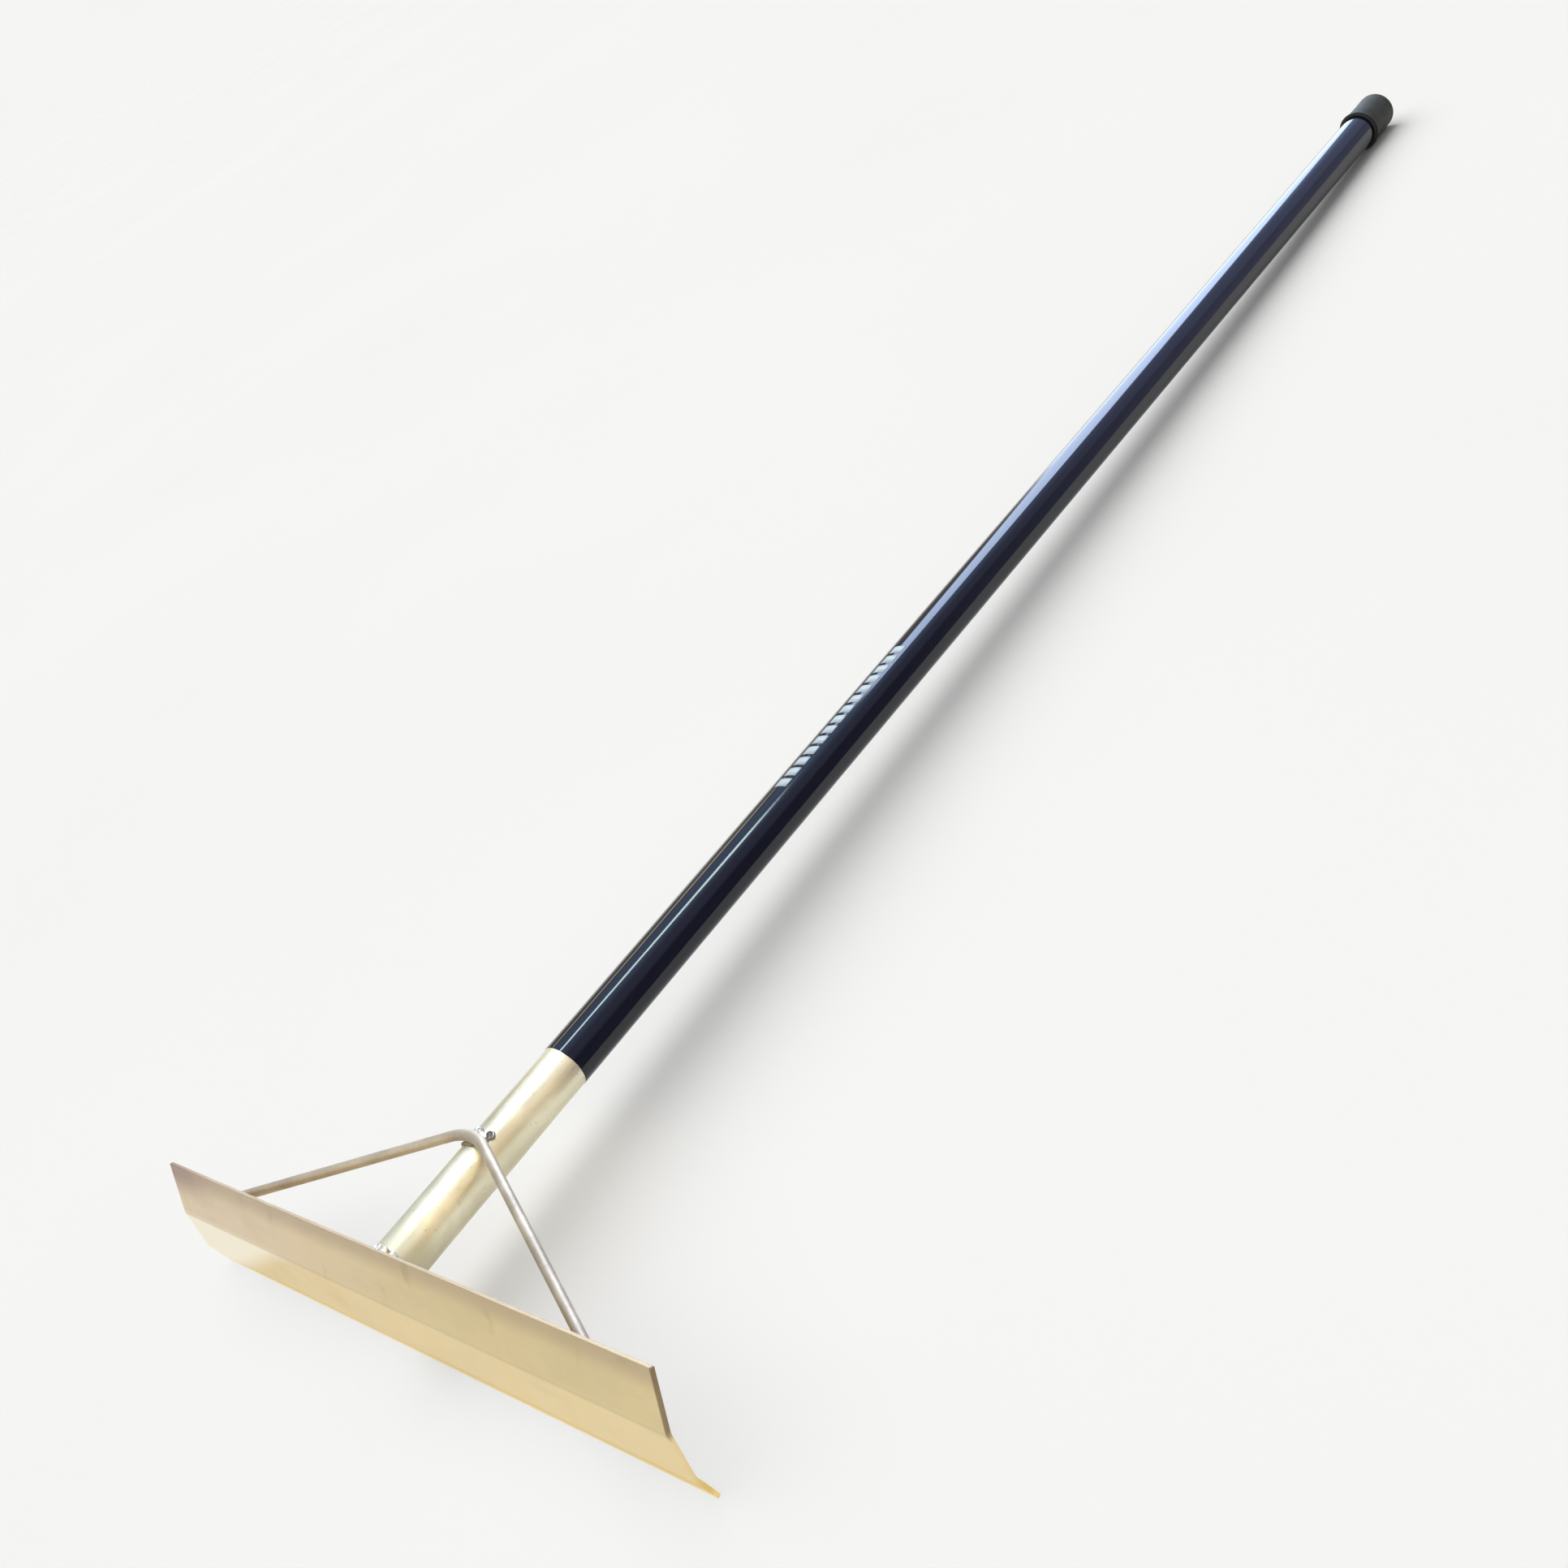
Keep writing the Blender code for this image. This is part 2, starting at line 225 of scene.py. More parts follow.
def lump(x, y, z, seed=0.0):
    """Smooth noise between about -1 and 1."""
    return noise.noise(Vector((x + seed * 17.3, y - seed * 5.1, z + seed * 9.7)))


def piece(name, verts, faces, material, nodes=(), sharp_deg=40.0):
    """A mesh object from points in the tool's frame, riding on the CAD's one body."""
    mesh = bpy.data.meshes.new(name)
    mesh.from_pydata([TOOL @ (Vector(v) * MM) for v in verts], [], faces)
    mesh.validate()
    mesh.shade_smooth()
    mesh.set_sharp_from_angle(angle=math.radians(sharp_deg))
    mesh.materials.append(material)
    item = bpy.data.objects.new(name, mesh)
    bpy.context.scene.collection.objects.link(item)
    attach(item, "root")
    if nodes:
        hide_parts(*nodes)
    return item


def skin(rows, wrap_rows=False, wrap_columns=True):
    """Vertices and quads over rows of points; each row has the same number of points.

    The flags join the last row to the first, and each row's last point to its first.
    """
    width = len(rows[0])
    verts = [point for row in rows for point in row]
    faces = []
    for i in range(len(rows) - (0 if wrap_rows else 1)):
        here = i * width
        there = (i + 1) % len(rows) * width
        for j in range(width - (0 if wrap_columns else 1)):
            beside = (j + 1) % width
            faces.append((here + j, here + beside, there + beside, there + j))
    return verts, faces


def closed(rows):
    """A skin over closed rows, with a flat face on its first and its last row."""
    verts, faces = skin(rows)
    sides = len(rows[0])
    last = (len(rows) - 1) * sides
    faces.append(tuple(range(sides - 1, -1, -1)))
    faces.append(tuple(range(last, last + sides)))
    return verts, faces


def revolve(profile, steps, shift=None):
    """Rings round the handle's axis, one for each (radius, distance) of the profile.

    They run from +Z to +X, so that faces look outwards where the profile runs along the handle.
    """
    rows = []
    for radius, distance in profile:
        row = []
        for step in range(steps):
            angle = -2 * math.pi * step / steps
            r, y = (radius, distance) if shift is None else shift(radius, distance, angle)
            row.append((r * math.cos(angle), y, r * math.sin(angle)))
        rows.append(row)
    return rows


def arc(centre, radii, start_deg, end_deg, steps):
    """Points of a profile on an ellipse; centre and radii are each (radius, distance)."""
    points = []
    for step in range(steps + 1):
        angle = math.radians(start_deg + (end_deg - start_deg) * step / steps)
        points.append((centre[0] + radii[0] * math.cos(angle), centre[1] + radii[1] * math.sin(angle)))
    return points


def joined(*parts):
    """Several (vertices, faces) as one."""
    verts, faces = [], []
    for more, quads in parts:
        base = len(verts)
        verts += more
        faces += [tuple(base + i for i in quad) for quad in quads]
    return verts, faces


# ---------------------------------------------------------------- materials

class Shade:
    """A node tree with short calls for the nodes that the materials use.

    Inputs are given by name, or as i0, i1 and so on by their place.
    """

    def __init__(self, name, world=None):
        self.in_world = world is not None
        self.owner = world or bpy.data.materials.new(name)
        self.owner.use_nodes = True
        self.tree = self.owner.node_tree
        self.tree.nodes.clear()

    def node(self, kind, settings=None, **inputs):
        """A new node with its settings made and its inputs filled."""
        made = self.tree.nodes.new("ShaderNode" + kind)
        for key, value in (settings or {}).items():
            setattr(made, key, value)
        for key, value in inputs.items():
            by_place = key[0] == "i" and key[1:].isdigit()
            self.fill(made.inputs[int(key[1:]) if by_place else key], value)
        return made

    def fill(self, socket, value):
        """Link an input to another node's output, or give it a value."""
        if isinstance(value, bpy.types.NodeSocket):
            self.tree.links.new(value, socket)
        else:
            socket.default_value = value

    def math(self, operation, first, second=0.0):
        return self.node("Math", {"operation": operation}, i0=first, i1=second).outputs[0]

    def place(self, scale=(1.0, 1.0, 1.0), rotation=(0.0, 0.0, 0.0)):
        """The point in the tool's frame, in metres, stretched by a scale."""
        coords = self.node("TexCoord").outputs["Object"]
        tool = self.node("Mapping", {"vector_type": "TEXTURE"}, Vector=coords, Location=TOOL_ORIGIN,
                         Rotation=(TOOL_TILT, 0.0, 0.0)).outputs[0]
        return self.node("Mapping", Vector=tool, Scale=scale, Rotation=rotation).outputs[0]

    def noise(self, vector, scale, detail, rough, distortion=0.0):
        made = self.node("TexNoise", Vector=vector, Scale=scale, Detail=detail, Roughness=rough,
                         Distortion=distortion)
        return made.outputs["Fac"]

    def span(self, value, low, high, out_low=0.0, out_high=1.0):
        """Smooth step of a value from low to high."""
        made = self.node("MapRange", {"interpolation_type": "SMOOTHSTEP"}, i0=value, i1=low, i2=high,
                         i3=out_low, i4=out_high)
        return made.outputs[0]

    def band(self, value, low, high, soft):
        """1 where a value is between two limits, 0 elsewhere, with soft edges."""
        rise = self.span(value, low - soft, low + soft)
        fall = self.span(value, high - soft, high + soft, 1.0, 0.0)
        return self.math("MULTIPLY", rise, fall)

    def step_over(self, value, limit, soft):
        """1 where a value is over a limit, 0 where it is under, with a soft edge."""
        return self.span(self.math("SUBTRACT", value, limit), -soft, soft)

    def line(self, value, slope, offset):
        """A value times a slope, plus an offset."""
        return self.math("ADD", self.math("MULTIPLY", value, slope), offset)

    def mix(self, factor, first, second):
        """The first colour where the factor is 0, the second where it is 1."""
        first, second = self.colour(first), self.colour(second)
        return self.node("Mix", {"data_type": "RGBA"}, i0=factor, i6=first, i7=second).outputs[2]

    def veil(self, tone, mask, strength, colour):
        """A tone covered by a colour where a mask is 1, as far as the strength says."""
        return self.mix(self.math("MULTIPLY", mask, strength), tone, colour)

    @staticmethod
    def colour(value):
        """A colour with its alpha; a socket stays as it is."""
        return (*value, 1.0) if isinstance(value, tuple) and len(value) == 3 else value

    def bump(self, height, strength, distance, normal=None):
        """Bump of a height in metres, on top of an earlier bump if one is given."""
        below = {} if normal is None else {"Normal": normal}
        return self.node("Bump", Height=height, Strength=strength, Distance=distance, **below).outputs[0]

    def glowing(self, colour):
        """The finished material or world, which gives off a colour."""
        kind, output = ("Background", "OutputWorld") if self.in_world else ("Emission", "OutputMaterial")
        glow = self.node(kind, Color=colour, Strength=1.0)
        self.node(output, Surface=glow.outputs[0])
        return self.owner

    def surface(self, **inputs):
        """The finished material; an input's name has _ for each space."""
        shader = self.node("BsdfPrincipled")
        for key, value in inputs.items():
            self.fill(shader.inputs[key.replace("_", " ")], self.colour(value))
        self.node("OutputMaterial", Surface=shader.outputs[0])
        return self.owner


def blade_zones(s, across, height, below_bend):
    """Tones of the flats: tan above the first bend, yellower below it, rubbed pale at the lip; painted
    shade under the top edge.
    """
    clouds = s.noise(s.place((5.0, 14.0, 14.0)), 1.6, 4.0, 0.6)
    upper = s.mix(s.span(across, -0.20, 0.10), (0.84, 0.68, 0.49), (0.80, 0.65, 0.36))
    upper = s.veil(upper, clouds, 0.30, (0.66, 0.53, 0.36))
    lower = s.mix(s.span(across, -0.18, 0.24), (0.84, 0.67, 0.38), (0.86, 0.70, 0.39))
    lower = s.veil(lower, clouds, 0.25, (0.77, 0.64, 0.39))
    tone = s.mix(below_bend, upper, lower)
    tone = s.mix(s.span(height, *LIP_TOP), tone, (0.82, 0.595, 0.205))
    rubbed = s.mix(s.span(across, -0.16, 0.22), (1.0, 0.93, 0.68), (1.0, 0.80, 0.40))
    tone = s.veil(tone, s.span(height, *RUBBED_EDGE), 0.85, rubbed)
    # Painted shade: the upper flat darkens towards its top edge.
    return s.veil(tone, s.span(height, *SHADE_UNDER_TOP_EDGE), 0.55, (0.46, 0.34, 0.24))


def blade_wear(s, tone, across, height, below_bend, smears):
    """Stains, an olive bloom, a dark cut end at +X, and at -X a dark corner and a painted highlight.

    Painted shade darkens a line along the first bend.
    """
    stain = s.span(smears, 0.60, 0.80)
    tone = s.veil(tone, stain, s.span(below_bend, 0.0, 1.0, 0.40, 0.14), (0.42, 0.33, 0.20))
    bloom = s.span(s.noise(s.place((16.0, 40.0, 40.0)), 1.0, 3.0, 0.6), 0.45, 0.70)
    tone = s.veil(tone, bloom, 0.16, (0.56, 0.50, 0.28))
    cut_end = s.math("MULTIPLY", s.span(across, 0.2484, 0.2490), s.span(height, -0.016, -0.008))
    tone = s.veil(tone, cut_end, 0.8, (0.20, 0.13, 0.08))
    corner = s.math("MULTIPLY", s.span(across, -0.175, -0.245), s.span(height, -0.002, 0.018))
    tone = s.veil(tone, corner, 0.60, (0.36, 0.23, 0.21))
    # Painted highlight: a pale patch of glare on the lower flats towards -X.
    pale = s.step_over(s.line(height, 2.3, -0.098), across, 0.022)
    tone = s.veil(tone, s.math("MULTIPLY", pale, below_bend), 0.80, (1.0, 0.95, 0.82))
    # Painted shade: a darker line along the first bend.
    bend_shade = s.band(height, -0.0118, -0.0094, 0.0011)
    return s.veil(tone, bend_shade, 0.22, (0.42, 0.34, 0.20))


def blade_metal():
    """Satin sheet with a grain along the blade, worn and stained, with painted glare and shade."""
    s = Shade("blade_metal")
    split = s.node("SeparateXYZ", Vector=s.place())
    across, height = split.outputs[0], split.outputs[2]
    below_bend = s.span(height, *FIRST_BEND)
    smears = s.noise(s.place((38.0, 24.0, 24.0), (0.0, 0.35, 0.0)), 1.0, 2.5, 0.55, 0.5)
    grain = s.noise(s.place((30.0, 2200.0, 2200.0)), 1.0, 2.0, 0.6)
    tone = blade_zones(s, across, height, below_bend)
    tone = blade_wear(s, tone, across, height, below_bend, smears)
    rough = s.math("ADD", s.span(smears, 0.3, 0.75, 0.42, 0.52), s.math("MULTIPLY", grain, 0.06))
    normal = s.bump(grain, 0.08, 0.0002)
    normal = s.bump(s.noise(s.place((9.0, 30.0, 30.0)), 1.0, 2.0, 0.55), 0.15, 0.0010, normal)
    return s.surface(Base_Color=tone, Metallic=1.0, Roughness=rough, Normal=normal)


def tube_metal():
    """Drawn tube: satin, with fine lengthwise lines, duller by the weld, lighter by the sleeve as painted
    reflection.
    """
    s = Shade("tube_metal_worn")
    lines = s.noise(s.place((2600.0, 14.0, 2600.0)), 1.0, 2.0, 0.6)
    clouds = s.noise(s.place((30.0, 22.0, 30.0)), 1.0, 4.0, 0.6, 0.5)
    pits = s.noise(s.place(), 420.0, 2.0, 0.5)
    tone = s.mix(s.span(clouds, 0.3, 0.7), (0.72, 0.66, 0.47), (0.88, 0.83, 0.64))
    along = s.node("SeparateXYZ", Vector=s.place()).outputs[1]
    # Painted reflection: the tube turns lighter towards the sleeve, standing in for brighter reflections
    # there.
    tone = s.veil(tone, s.span(along, 0.085, 0.145), 0.85, (0.97, 0.92, 0.70))
    by_weld = s.span(along, 0.034, 0.012)
    tone = s.veil(tone, by_weld, 0.60, (0.62, 0.58, 0.44))
    tone = s.veil(tone, s.span(pits, 0.68, 0.76), 0.5, (0.38, 0.33, 0.22))
    streaks = s.noise(s.place((260.0, 26.0, 260.0)), 1.0, 3.0, 0.6, 0.4)
    mottle = s.math("MULTIPLY", s.math("ADD", clouds, streaks), 0.5)
    rough = s.math("ADD", s.span(mottle, 0.3, 0.7, 0.30, 0.46), s.math("MULTIPLY", by_weld, 0.22))
    normal = s.bump(lines, 0.05, 0.0002)
    normal = s.bump(clouds, 0.20, 0.0012, normal)
    normal = s.bump(streaks, 0.18, 0.0004, normal)
    normal = s.bump(pits, 0.10, 0.0004, normal)
    return s.surface(Base_Color=tone, Metallic=1.0, Roughness=rough, Normal=normal)


def bar_metal():
    """Dull drawn bar with a taupe film."""
    s = Shade("bar_metal_worn")
    clouds = s.noise(s.place((40.0, 40.0, 40.0)), 1.0, 4.0, 0.6)
    fine = s.noise(s.place((500.0, 500.0, 500.0)), 1.0, 3.0, 0.6)
    tone = s.mix(s.span(clouds, 0.3, 0.7), (0.46, 0.385, 0.295), (0.63, 0.54, 0.415))
    rough = s.span(fine, 0.3, 0.7, 0.50, 0.62)
    normal = s.bump(fine, 0.06, 0.0003)
    return s.surface(Base_Color=tone, Metallic=1.0, Roughness=rough, Normal=normal)


def weld_bright():
    """Bright weld metal, clouded with grey."""
    s = Shade("weld_bright")
    fine = s.noise(s.place(), 700.0, 2.0, 0.5)
    broad = s.noise(s.place(), 150.0, 2.0, 0.5)
    tone = s.mix(s.span(broad, 0.40, 0.60), (0.30, 0.27, 0.26), (0.93, 0.91, 0.87))
    rough = s.span(fine, 0.3, 0.7, 0.32, 0.46)
    normal = s.bump(fine, 0.10, 0.0003)
    normal = s.bump(broad, 0.25, 0.0008, normal)
    return s.surface(Base_Color=tone, Metallic=1.0, Roughness=rough, Normal=normal)


def dark_weld_metal(name, dark, light):
    """Dull, dark weld metal between two tones; under the brace's bend this darkness is painted shade."""
    s = Shade(name)
    fine = s.noise(s.place(), 500.0, 3.0, 0.5)
    tone = s.mix(s.span(fine, 0.3, 0.7), dark, light)
    rough = s.span(fine, 0.3, 0.7, 0.42, 0.62)
    normal = s.bump(fine, 0.30, 0.0004)
    return s.surface(Base_Color=tone, Metallic=0.6, Roughness=rough, Normal=normal)


def sleeve_film():
    """Glossy navy film, nearly black, with a faint unevenness and a few dull rubs."""
    s = Shade("sleeve_film")
    rubs = s.noise(s.place((60.0, 5.0, 60.0)), 1.0, 4.0, 0.6)
    peel = s.noise(s.place((1.0, 0.35, 1.0)), 260.0, 2.0, 0.5)
    tone = s.mix(rubs, (0.003, 0.004, 0.009), (0.007, 0.009, 0.018))
    rough = s.span(rubs, 0.35, 0.75, 0.055, 0.11)
    normal = s.bump(peel, 0.03, 0.0004)
    return s.surface(Base_Color=tone, Roughness=rough, Normal=normal)


def cap_vinyl():
    """Matte moulded vinyl with a fine grain, darker on the rim's outside."""
    s = Shade("cap_vinyl")
    fine = s.noise(s.place(), 1400.0, 3.0, 0.6)
    clouds = s.noise(s.place(), 60.0, 3.0, 0.6)
    tone = s.mix(s.span(clouds, 0.3, 0.7), (0.036, 0.036, 0.025), (0.050, 0.049, 0.036))
    split = s.node("SeparateXYZ", Vector=s.place())
    squares = s.math("ADD", s.math("POWER", split.outputs[0], 2.0), s.math("POWER", split.outputs[2], 2.0))
    on_rim = s.span(s.math("SQRT", squares), 0.0183, 0.0188)
    tone = s.mix(on_rim, tone, (0.008, 0.010, 0.015))
    rough = s.span(fine, 0.3, 0.7, 0.52, 0.68)
    normal = s.bump(fine, 0.25, 0.0003)
    return s.surface(Base_Color=tone, Roughness=rough, Specular_IOR_Level=0.22, Normal=normal)


def mark_ink():
    """Pale printed ink, slightly rubbed."""
    s = Shade("mark_ink")
    rub = s.noise(s.place(), 700.0, 4.0, 0.6)
    tone = s.mix(rub, (0.36, 0.46, 0.50), (0.66, 0.76, 0.80))
    rough = s.span(rub, 0.3, 0.7, 0.35, 0.55)
    return s.surface(Base_Color=tone, Roughness=rough)


def floor_paint():
    """Plain pale floor."""
    s = Shade("floor_paint")
    drift = s.noise(s.node("TexCoord").outputs["Object"], 1.2, 3.0, 0.5)
    tone = s.mix(drift, (0.86, 0.86, 0.85), (0.90, 0.90, 0.89))
    return s.surface(Base_Color=tone, Roughness=0.75, Specular_IOR_Level=0.0)


def wall_glow():
    """Pale far wall that glows as brightly as the lit floor."""
    s = Shade("wall_glow")
    drift = s.noise(s.node("TexCoord").outputs["Object"], 0.3, 2.0, 0.5)
    tone = s.mix(drift, (0.90, 0.90, 0.89), (0.93, 0.93, 0.92))
    return s.glowing(tone)


def shade_reflection_card():
    """Glow of the side card, a painted reflection of shade: dark and bluish, lighter towards the cap,
    brown by the blade.
    """
    s = Shade("shade_reflection_card")
    coords = s.node("TexCoord").outputs["Object"]
    fleck = s.noise(coords, 30.0, 3.0, 0.6)
    along = s.node("SeparateXYZ", Vector=coords).outputs[1]
    near = s.mix(fleck, (0.11, 0.10, 0.19), (0.17, 0.16, 0.28))
    far = s.mix(fleck, (0.36, 0.38, 0.62), (0.50, 0.52, 0.80))
    tone = s.mix(s.span(along, -0.25, 0.50), near, far)
    return s.glowing(s.mix(s.span(along, -0.525, -0.545), tone, (0.36, 0.29, 0.18)))


# ---------------------------------------------------------------- blade

def blade_line():
    """Points down the blade's back with their normals, as (Y, Z) pairs, bends included."""
    corners = fold_corners()
    last = len(FLAT_ANGLES) - 1
    line = []
    for k, angle in enumerate(FLAT_ANGLES):
        cut_in = 0.0 if k == 0 else bend_setback(k - 1)
        cut_out = 0.0 if k == last else bend_setback(k)
        steps = 14 if k == 0 else 10
        for step in range(steps + 1):
            along = cut_in + (FLAT_LENGTHS[k] - cut_in - cut_out) * step / steps
            line.append((corners[k] + fold_direction(angle) * along, fold_normal(angle)))
        if k < last:
            line += bend_points(line[-1][0], angle, FLAT_ANGLES[k + 1])
    return line


def bend_setback(k):
    """How far a bend starts before the corner between flat k and the next one."""
    return BEND_RADIUS * math.tan((FLAT_ANGLES[k + 1] - FLAT_ANGLES[k]) / 2)


def bend_points(start, angle, next_angle, steps=7):
    """Points of a bend with their normals, between two flats."""
    centre = start + fold_normal(angle) * BEND_RADIUS
    points = []
    for step in range(1, steps):
        turned = angle + (next_angle - angle) * step / steps
        points.append((centre - fold_normal(turned) * BEND_RADIUS, fold_normal(turned)))
    return points


def worn_back(x, index, last):
    """How far the top edge or the lip is worn back at X, measured down the flat."""
    if index == 0:
        return TOP_EDGE_WEAR * abs(lump(x * 0.06, 5.0, 0.0, 4))
    if index == last:
        nicks = LIP_NICKS * smoothstep(0.45, 0.7, lump(x * 0.21, 1.0, 0.0, 3))
        return -LIP_WEAR * abs(lump(x * 0.09, 0.0, 3.0, 2)) - nicks
    return 0.0


def blade_section(x, line):
    """Points round the sheet at X: down its front and up its back."""
    front, back = [], []
    for index, (spot, normal) in enumerate(line):
        wave = BLADE_WAVE * (1 + lump(x * 0.010, index * 0.13, 0.0, 1))
        down = Vector((normal.y, -normal.x))
        at_back = spot + normal * wave + down * worn_back(x, index, len(line) - 1)
        at_front = at_back - normal * SHEET
        back.append((x, at_back.x, at_back.y))
        front.append((x, at_front.x, at_front.y))
    return front + back[::-1]


def make_blade(material):
    """The folded sheet with a slight waviness and a lip that is worn a little uneven."""
    line = blade_line()
    columns = 126
    rows = []
    for column in range(columns + 1):
        rows.append(blade_section(BLADE_WIDTH * (column / columns - 0.5), line))
    verts, faces = skin(rows)
    # The cut ends, as quads across the sheet.
    half = len(line)
    last_row = columns * 2 * half
    for index in range(half - 1):
        across = (index, index + 1, 2 * half - 2 - index, 2 * half - 1 - index)
        faces.append(across[::-1])
        faces.append(tuple(last_row + corner for corner in across))
    blade = piece("blade_folded", verts, faces, material, ("blade",))
    rounding = blade.modifiers.new("Edges", "BEVEL")
    rounding.width = EDGE_ROUNDING * MM
    rounding.segments = 2
    rounding.limit_method = "ANGLE"
    rounding.angle_limit = math.radians(50)
    normals = blade.modifiers.new("Normals", "WEIGHTED_NORMAL")
    normals.keep_sharp = True
    # Without this the blade would throw a yellow glow on the floor in front of it.
    blade.visible_diffuse = False
    return blade


# ---------------------------------------------------------------- handle

def dent_depth(radius, y, angle):
    """How deep the tube is dented at a place on it."""
    depth_here = 0.0
    for place_y, place_deg, size, depth in TUBE_DENTS:
        away_y = y - place_y
        away_round = radius * ((angle - math.radians(place_deg) + math.pi) % (2 * math.pi) - math.pi)
        depth_here += depth * math.exp(-(away_y ** 2 / 2 + away_round ** 2) / size ** 2)
    return depth_here


def make_tube(material):
    """The tube, mitred to the blade's back, with a few shallow dents near the weld."""

    def mitred(radius, distance, angle):
        y = distance
        if distance <= MITRE_REACH:
            start = back_y(radius * math.sin(angle))
            y = start + (MITRE_REACH - start) * distance / MITRE_REACH
        return radius - dent_depth(radius, y, angle), y

    dented = [MITRE_REACH + 1.5 * k for k in range(94)]
    outside = [0.0, 4.0, 8.0, 12.0, 16.0, 20.0, 24.0, 27.0] + dented + [400.0, 900.0, TUBE_END]
    profile = [(TUBE_RADIUS, y) for y in outside]
    profile += [(TUBE_BORE, y) for y in (TUBE_END, 600.0, 60.0, 0.0)]
    verts, faces = skin(revolve(profile, 96, mitred), wrap_rows=True)
    return piece("tube_drawn", verts, faces, material, ("handle_tube",))


def make_sleeve(material):
    """The film over the tube: its lower edge is cut very slightly out of square."""
    edge = 3.0

    def uneven(radius, distance, angle):
        if distance < SLEEVE_START + edge:
            distance += 0.25 * math.sin(angle + 0.8) + 0.08 * math.sin(5 * angle)
        return radius, distance

    inner = TUBE_RADIUS + SLEEVE_GAP
    profile = [(inner, SLEEVE_START), (SLEEVE_RADIUS - 0.08, SLEEVE_START)]
    profile += [(SLEEVE_RADIUS, SLEEVE_START + step) for step in (0.12, 0.3, 1.0)]
    count = 60
    straight = SLEEVE_END - SLEEVE_START - edge
    for step in range(1, count + 1):
        profile.append((SLEEVE_RADIUS, SLEEVE_START + edge + straight * step / count))
    profile.append((inner, SLEEVE_END))
    verts, faces = skin(revolve(profile, 128, uneven), wrap_rows=True)
    return piece("sleeve_film", verts, faces, material, ("handle_sleeve",))


def make_cap(material):
    """The cap: hollow over the tube, with a rim, a slightly drawn-in skirt and a rounded end."""
    rim_swell = CAP_RIM_RADIUS - CAP_RADIUS
    rim_centre = (CAP_RADIUS - CAP_RIM_INSET, CAP_MOUTH + CAP_RIM_LENGTH / 2)
    corner_centre = (CAP_RADIUS - CAP_CORNER, CAP_END - CAP_CORNER)
    inner = SLEEVE_RADIUS + CAP_GAP
    end = CAP_END - 0.05
    profile = [(inner, TUBE_END + 0.3), (inner, CAP_MOUTH + 0.4), (inner + 0.4, CAP_MOUTH)]
    profile += arc(rim_centre, (rim_swell + CAP_RIM_INSET, CAP_RIM_LENGTH / 2), -80, 70, 12)
    profile += [(CAP_RADIUS - 0.05, CAP_MOUTH + CAP_RIM_LENGTH + 0.5), (CAP_RADIUS, CAP_MOUTH + 8.0)]
    profile += [(CAP_RADIUS - 0.15, CAP_MOUTH + 26.0)]
    profile += arc(corner_centre, (CAP_CORNER, CAP_CORNER), 0, 90, 12)
    profile += [(9.0, end), (4.0, end), (0.6, end)]
    verts, faces = closed(revolve(profile, 96))
    return piece("cap_moulded", verts, faces, material, ("end_cap",))


def make_mark(material):
    """A generic printed band of slanted bars along the top of the sleeve."""
    radius = SLEEVE_RADIUS + 0.05
    low, high = MARK_DEGREES
    steps = 8
    bars = []
    for bar in range(int((MARK_END - MARK_START) / MARK_PITCH)):
        rows = []
        for step in range(steps + 1):
            part = step / steps
            angle = math.radians(low + (high - low) * part)
            x, z = radius * math.cos(angle), radius * math.sin(angle)
            y = MARK_START + MARK_PITCH * bar + MARK_SLANT * (1 - part)
            rows.append([(x, y, z), (x, y + MARK_BAR, z)])
        bars.append(skin(rows, wrap_columns=False))
    verts, faces = joined(*bars)
    mark = piece("sleeve_mark", verts, faces, material)
    thick = mark.modifiers.new("Ink", "SOLIDIFY")
    thick.thickness = INK_THICKNESS * MM
    thick.offset = 0.0
    return mark


# ---------------------------------------------------------------- brace

def brace_frame():
    """Foot and rise of the V's plane in (Y, Z), how far up it the bend is, and the legs' angle."""
    angle = FLAT_ANGLES[0]
    foot = fold_corners()[0] + fold_direction(angle) * BRACE_FOOT_DEPTH + fold_normal(angle) * ROD_RADIUS
    leg_angle = math.atan2(BRACE_RISE, BRACE_HALF_SPAN)
    crossing = BRACE_RISE - BRACE_BEND_RADIUS * (1 / math.cos(leg_angle) - 1)
    slope = math.asin((TUBE_RADIUS + ROD_RADIUS + BRACE_CLEARANCE - foot.y) / crossing)
    return foot, Vector((math.cos(slope), math.sin(slope))), crossing, leg_angle


def brace_point(across, up):
    """A point in the plane of the V, by its X and how far up the plane it is."""
    foot, rise, _, _ = brace_frame()
    return Vector((across, foot.x + rise.x * up, foot.y + rise.y * up))


def brace_line():
    """Points along the bar's axis from the left foot to the right one, in the plane of the V."""
    _, _, crossing, leg_angle = brace_frame()
    leg = Vector((math.cos(leg_angle), -math.sin(leg_angle)))
    setback = BRACE_BEND_RADIUS * math.tan(leg_angle)
    apex = Vector((0.0, BRACE_RISE))
    length = BRACE_HALF_SPAN / math.cos(leg_angle) + BRACE_OVERRUN
    right = [apex + leg * (setback + (length - setback) * step / 40) for step in range(41)]
    left = [Vector((-spot.x, spot.y)) for spot in right[::-1]]
    centre = Vector((0.0, crossing - BRACE_BEND_RADIUS))
    bend = []
    for step in range(-14, 15):
        turn = leg_angle * step / 15
        bend.append(centre + Vector((math.sin(turn), math.cos(turn))) * BRACE_BEND_RADIUS)
    return left + bend + right


